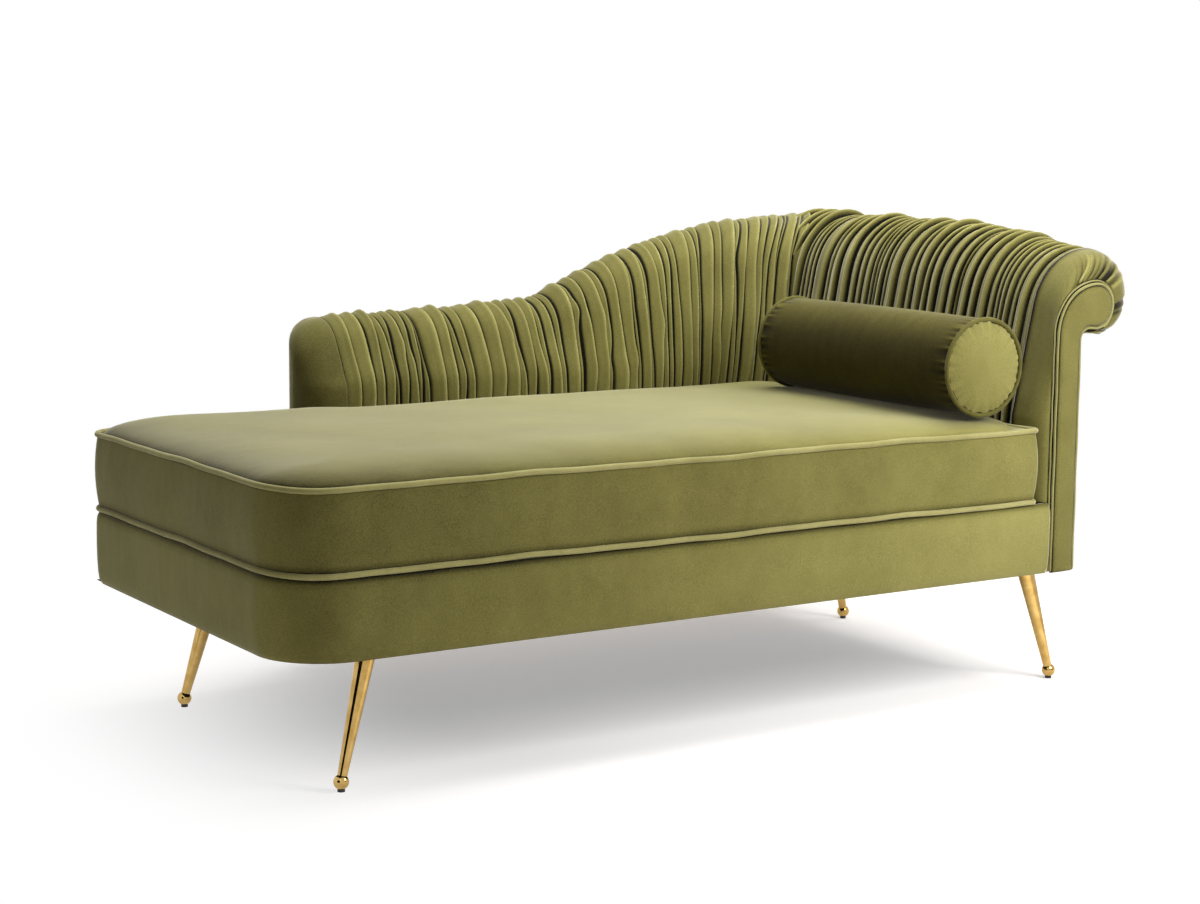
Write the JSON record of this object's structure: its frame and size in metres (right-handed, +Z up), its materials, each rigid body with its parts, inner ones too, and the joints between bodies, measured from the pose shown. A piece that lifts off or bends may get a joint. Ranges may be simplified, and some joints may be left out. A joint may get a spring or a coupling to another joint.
{
  "type": "chaise longue",
  "caption": "Olive velvet chaise longue with a pleated swoop back, scroll arm, bolster, loose welted seat cushion and splayed gold legs",
  "frame": {"origin": "On the floor, under the centre of the bounding box.", "axes": "+X along the seat towards the arm, +Y from the front to the back, +Z up."},
  "size_m": [1.573, 0.83, 0.763],
  "materials": {
    "velvet": "olive velvet, short dense pile",
    "piping": "pale olive piping cord in matching cloth",
    "timber": "planed beech",
    "plywood": "birch plywood",
    "foam": "upholstery foam",
    "gold_metal": "polished gold",
    "zinc_steel": "zinc plated steel",
    "webbing": "jute webbing",
    "dust_cloth": "black lining cloth",
    "glide_nylon": "nylon glide"
  },
  "bodies": {
    "chassis": {"arm_front_band": "velvet", "arm_front_panel": "velvet", "arm_front_rib": "plywood", "arm_front_welt": "piping", "arm_mid_rib": "plywood", "arm_outer_cover": "velvet", "arm_pad": "foam", "arm_pleated_cover": "velvet", "arm_rails": "timber", "arm_rear_rib": "plywood", "arm_rear_welt": "piping", "arm_roll_poles": "timber", "back_board": "plywood", "back_bottom_rail": "timber", "back_end_cover": "velvet", "back_end_pad": "foam", "back_outer_cover": "velvet", "back_pad": "foam", "back_pleated_cover": "velvet", "back_posts": "timber", "back_top_rail": "plywood", "back_welt": "piping", "base_corner_front_foot": "timber", "base_corner_rear_foot": "timber", "base_cover": "velvet", "base_cross_rails": "timber", "base_foot_rail": "timber", "base_front_rail": "timber", "base_head_rail": "timber", "base_rear_rail": "timber", "deck_cover": "dust_cloth", "deck_pad": "foam", "dust_cover": "dust_cloth", "glide_front_foot": "glide_nylon", "glide_front_head": "glide_nylon", "glide_rear_foot": "glide_nylon", "glide_rear_head": "glide_nylon", "leg_block_front_foot": "timber", "leg_block_front_head": "timber", "leg_block_rear_foot": "timber", "leg_block_rear_head": "timber", "leg_front_foot": "gold_metal", "leg_front_head": "gold_metal", "leg_plate_screws": "zinc_steel", "leg_plates": "zinc_steel", "leg_rear_foot": "gold_metal", "leg_rear_head": "gold_metal", "leg_studs": "zinc_steel", "webbing_across": "webbing", "webbing_lengthwise": "webbing"},
    "seat_cushion": {"cushion_core": "foam", "cushion_cover": "velvet", "cushion_welt_bottom": "piping", "cushion_welt_top": "piping"},
    "bolster": {"bolster_core": "foam", "bolster_cover": "velvet", "bolster_front_end": "velvet", "bolster_front_welt": "piping", "bolster_rear_end": "velvet", "bolster_rear_welt": "piping"}
  },
  "joints": [
    {"name": "lift_cushion", "type": "slide", "parent": "chassis", "child": "seat_cushion", "axis": [0, 0, 1], "range_m": [0, 0.6]},
    {"name": "lift_bolster", "type": "slide", "parent": "seat_cushion", "child": "bolster", "axis": [0, 0, 1], "range_m": [0, 0.45]}
  ]
}
